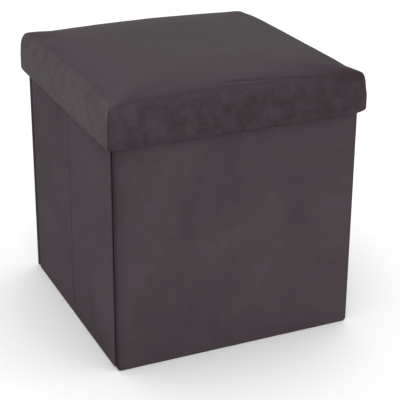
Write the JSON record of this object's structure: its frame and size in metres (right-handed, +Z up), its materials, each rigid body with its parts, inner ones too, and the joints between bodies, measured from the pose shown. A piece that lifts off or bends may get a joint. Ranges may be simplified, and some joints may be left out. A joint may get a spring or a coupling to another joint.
{
  "type": "ottoman with storage",
  "caption": "Square folding storage ottoman: velvet-covered hinged box with creased sides, a flip-up base board and a loose padded lid.",
  "frame": {"origin": "on the floor under the middle of the ottoman", "axes": "+Z up, -Y towards the whole front wall, -X towards the left creased side wall"},
  "size_m": [0.38, 0.38, 0.4],
  "materials": {
    "velvet": "short-pile dark grey-plum velvet",
    "fibreboard": "raw medium-density fibreboard",
    "lining": "matt black spun-bonded non-woven",
    "foam": "open-cell upholstery foam",
    "ribbon": "black woven ribbon"
  },
  "bodies": {
    "back": {"back_board": "fibreboard", "back_cover": "velvet", "back_lining": "lining", "back_hem": "velvet", "left_rear_corner_fabric": "velvet", "right_rear_corner_fabric": "velvet", "base_hinge_fabric": "lining"},
    "front": {"front_board": "fibreboard", "front_cover": "velvet", "front_lining": "lining", "front_hem": "velvet", "left_front_corner_fabric": "velvet", "right_front_corner_fabric": "velvet"},
    "left_rear": {"left_rear_board": "fibreboard", "left_rear_cover": "velvet", "left_rear_lining": "lining", "left_rear_hem": "velvet", "left_crease_fabric": "velvet"},
    "left_front": {"left_front_board": "fibreboard", "left_front_cover": "velvet", "left_front_lining": "lining", "left_front_hem": "velvet"},
    "right_rear": {"right_rear_board": "fibreboard", "right_rear_cover": "velvet", "right_rear_lining": "lining", "right_rear_hem": "velvet", "right_crease_fabric": "velvet"},
    "right_front": {"right_front_board": "fibreboard", "right_front_cover": "velvet", "right_front_lining": "lining", "right_front_hem": "velvet"},
    "base": {"base_board": "fibreboard", "base_top_lining": "lining", "base_bottom_lining": "lining", "base_pull_tab": "ribbon"},
    "lid": {"lid_cover": "velvet", "lid_foam_pad": "foam", "lid_top_board": "fibreboard", "lid_front_skirt_board": "fibreboard", "lid_back_skirt_board": "fibreboard", "lid_left_skirt_board": "fibreboard", "lid_right_skirt_board": "fibreboard", "lid_lining": "lining"}
  },
  "joints": [
    {"name": "left_rear_hinge", "type": "hinge", "parent": "back", "child": "left_rear", "pos_m": [-0.174, 0.169, 0], "axis": [0, 0, -1], "range_deg": [-89.5, 0], "deforming": ["left_rear_corner_fabric", "left_rear_hem"]},
    {"name": "left_crease", "type": "hinge", "parent": "left_rear", "child": "left_front", "pos_m": [-0.1803, 0, 0], "axis": [0, 0, 1], "range_deg": [-179, 0], "deforming": ["left_crease_fabric", "left_front_hem"]},
    {"name": "front_hinge", "type": "hinge", "parent": "left_front", "child": "front", "pos_m": [-0.174, -0.169, 0], "axis": [0, 0, -1], "range_deg": [-89.5, 0], "deforming": ["left_front_corner_fabric", "right_front_corner_fabric", "front_hem"]},
    {"name": "right_rear_hinge", "type": "hinge", "parent": "back", "child": "right_rear", "pos_m": [0.174, 0.169, 0], "axis": [0, 0, 1], "range_deg": [-89.5, 0], "deforming": ["right_rear_corner_fabric", "right_rear_hem"]},
    {"name": "right_crease", "type": "hinge", "parent": "right_rear", "child": "right_front", "pos_m": [0.1803, 0, 0], "axis": [0, 0, -1], "range_deg": [-179, 0], "deforming": ["right_crease_fabric", "right_front_hem"]},
    {"name": "base_flip", "type": "hinge", "parent": "back", "child": "base", "pos_m": [0, 0.1724, 0.003], "axis": [1, 0, 0], "range_deg": [-90, 0], "deforming": ["base_hinge_fabric"]},
    {"name": "lid_lift", "type": "slide", "parent": "back", "child": "lid", "axis": [0, 0, 1], "range_m": [0, 0.4]}
  ],
  "couplings": [
    {"joint": "left_crease", "follows": "left_rear_hinge", "ratio": 2},
    {"joint": "front_hinge", "follows": "left_rear_hinge", "ratio": 1},
    {"joint": "right_rear_hinge", "follows": "left_rear_hinge", "ratio": 1},
    {"joint": "right_crease", "follows": "left_rear_hinge", "ratio": 2}
  ]
}
